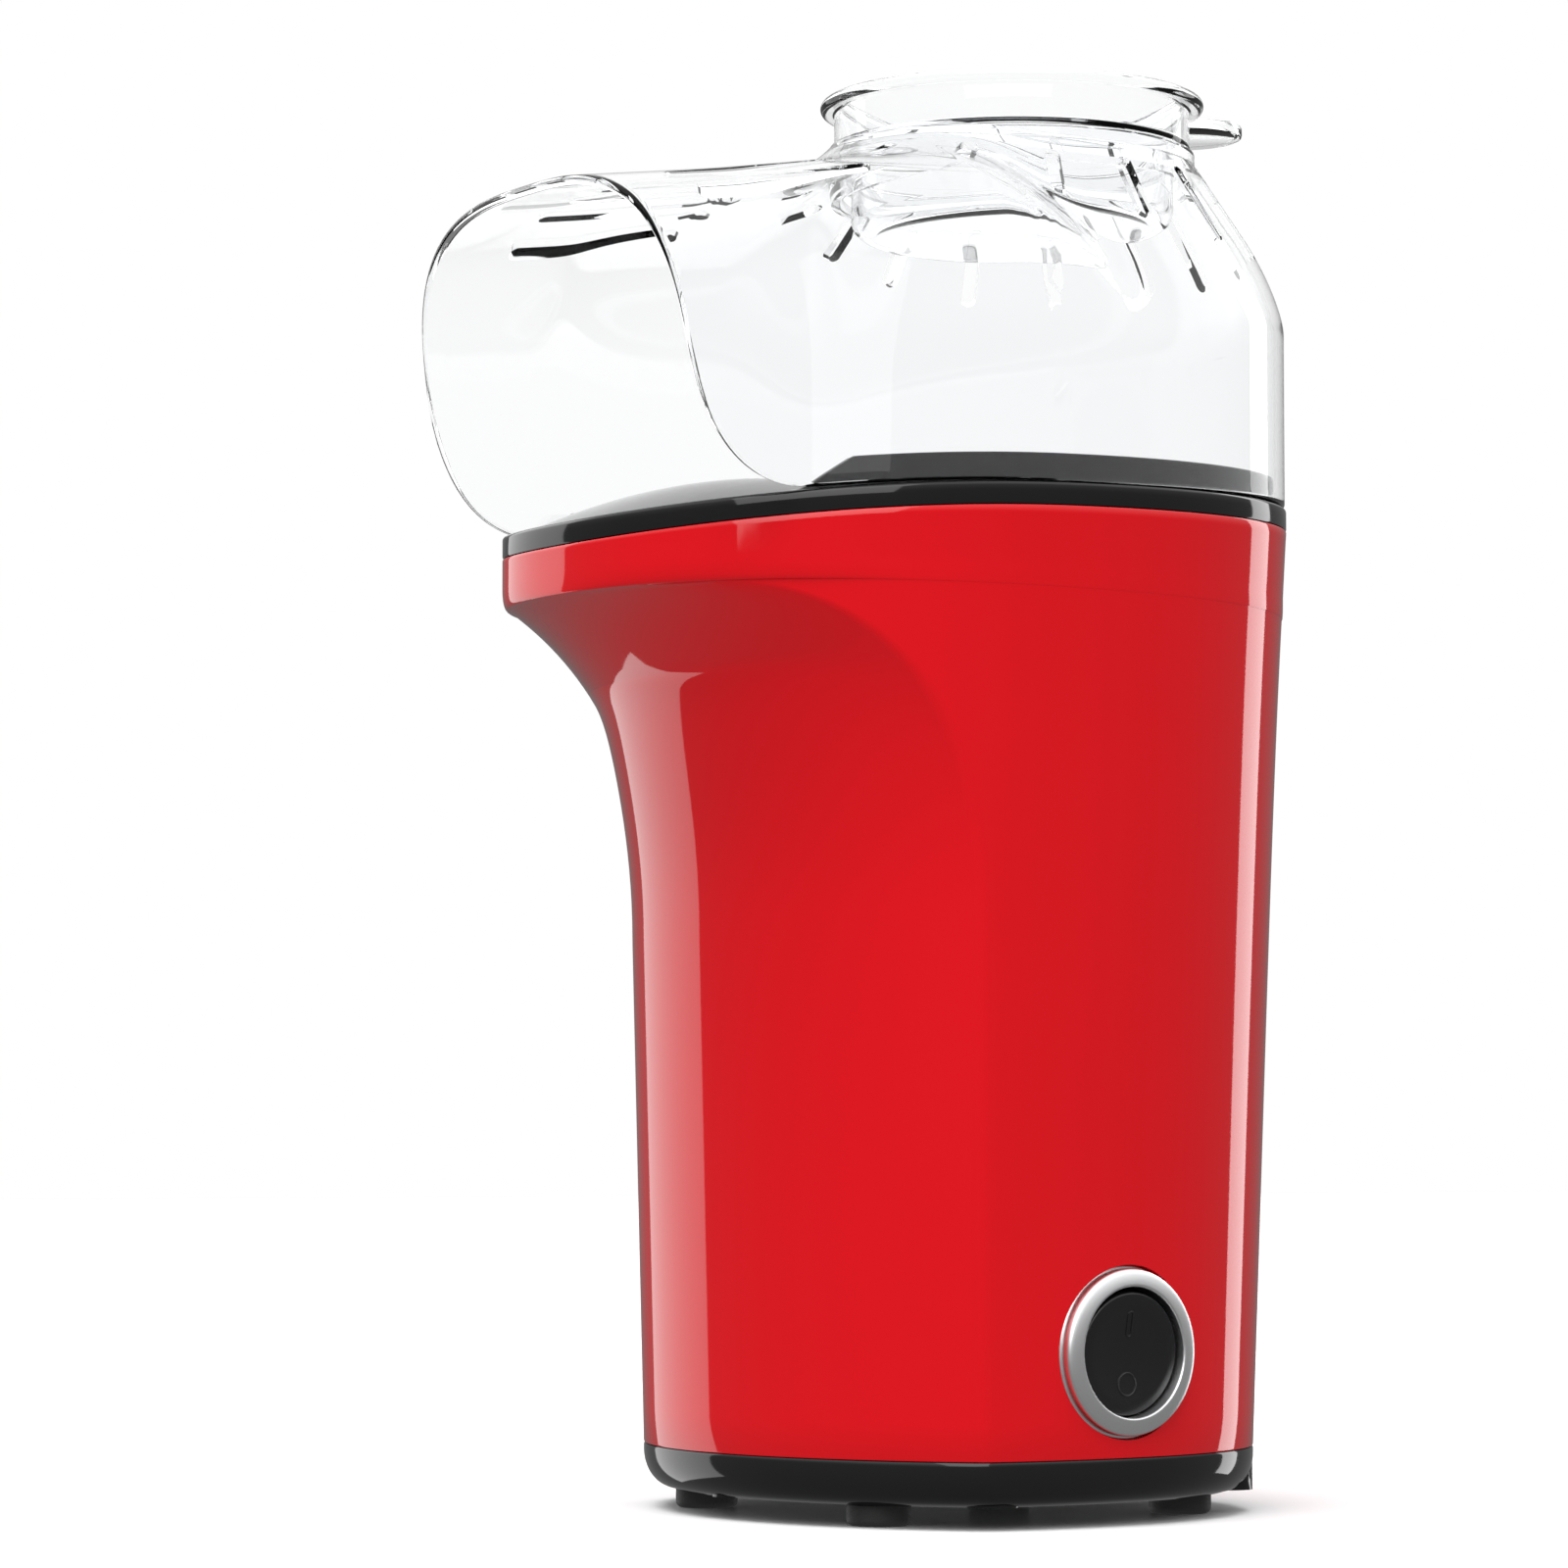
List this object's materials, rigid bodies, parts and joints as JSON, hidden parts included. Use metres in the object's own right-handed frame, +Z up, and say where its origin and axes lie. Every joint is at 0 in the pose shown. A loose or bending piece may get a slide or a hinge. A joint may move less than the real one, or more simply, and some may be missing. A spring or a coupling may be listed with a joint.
{
  "type": "popcorn maker",
  "caption": "Hot-air popcorn maker: tall gloss red housing with a scooped front, black rim and tray, clear lift-off hood with a wide chute and vent slots, measuring cup on top and side rocker.",
  "frame": {"origin": "centre of the outline on the surface that the feet stand on", "axes": "+Z up, -Y out of the chute, +X out of the side that carries the switch"},
  "size_m": [0.1366, 0.1766, 0.2981],
  "materials": {
    "housing_red": "smooth gloss",
    "rim_black": "smooth gloss",
    "clear_plastic": "clear gloss",
    "switch_chrome": "satin",
    "rocker_black": "fine satin",
    "inner_black": "plain moulded",
    "foot_rubber": "matte",
    "screw_steel": "zinc plated",
    "chamber_aluminium": "spun",
    "can_steel": "plated sheet",
    "mica_board": "layered mica",
    "coil_wire": "oxidised",
    "sensor_body": "phenolic",
    "motor_steel": "plated",
    "board_green": "solder mask"
  },
  "bodies": {
    "machine": {"housing": "housing_red", "base_pan": "rim_black", "top_deck": "rim_black", "foot_front_left": "foot_rubber", "foot_front_right": "foot_rubber", "foot_rear_left": "foot_rubber", "foot_rear_right": "foot_rubber", "foot_screws": "screw_steel", "pan_screws": "screw_steel", "deck_screws": "screw_steel", "shroud_screws": "screw_steel", "motor_screws": "screw_steel", "switch_bezel": "switch_chrome", "switch_body": "inner_black", "switch_nut": "inner_black", "switch_terminals": "screw_steel", "popping_chamber": "chamber_aluminium", "heater_can": "can_steel", "mica_sleeve": "mica_board", "mica_cross_a": "mica_board", "mica_cross_b": "mica_board", "heating_coil": "coil_wire", "thermostat": "sensor_body", "thermal_fuse": "can_steel", "fan_shroud": "inner_black", "motor_can": "motor_steel", "motor_end_bell": "inner_black", "rectifier_board": "board_green", "diodes": "inner_black", "cord_grommet": "foot_rubber"},
    "hood": {"hood": "clear_plastic"},
    "measuring_cup": {"measuring_cup": "clear_plastic"},
    "rocker": {"rocker": "rocker_black"},
    "rotor": {"fan_impeller": "inner_black", "motor_shaft": "screw_steel"}
  },
  "joints": [
    {"name": "hood_lift", "type": "slide", "parent": "machine", "child": "hood", "axis": [0, 0, 1], "range_m": [0, 0.12]},
    {"name": "cup_lift", "type": "slide", "parent": "hood", "child": "measuring_cup", "axis": [0, 0, 1], "range_m": [0, 0.06]},
    {"name": "rocker_tilt", "type": "hinge", "parent": "machine", "child": "rocker", "pos_m": [0.06056, 0.01439, 0.0346], "axis": [0.1045, -0.9945, 0], "range_deg": [0, 10]},
    {"name": "rotor_spin", "type": "hinge", "parent": "machine", "child": "rotor", "pos_m": [0, 0.0307, 0.06], "axis": [0, 0, 1], "continuous": true}
  ]
}
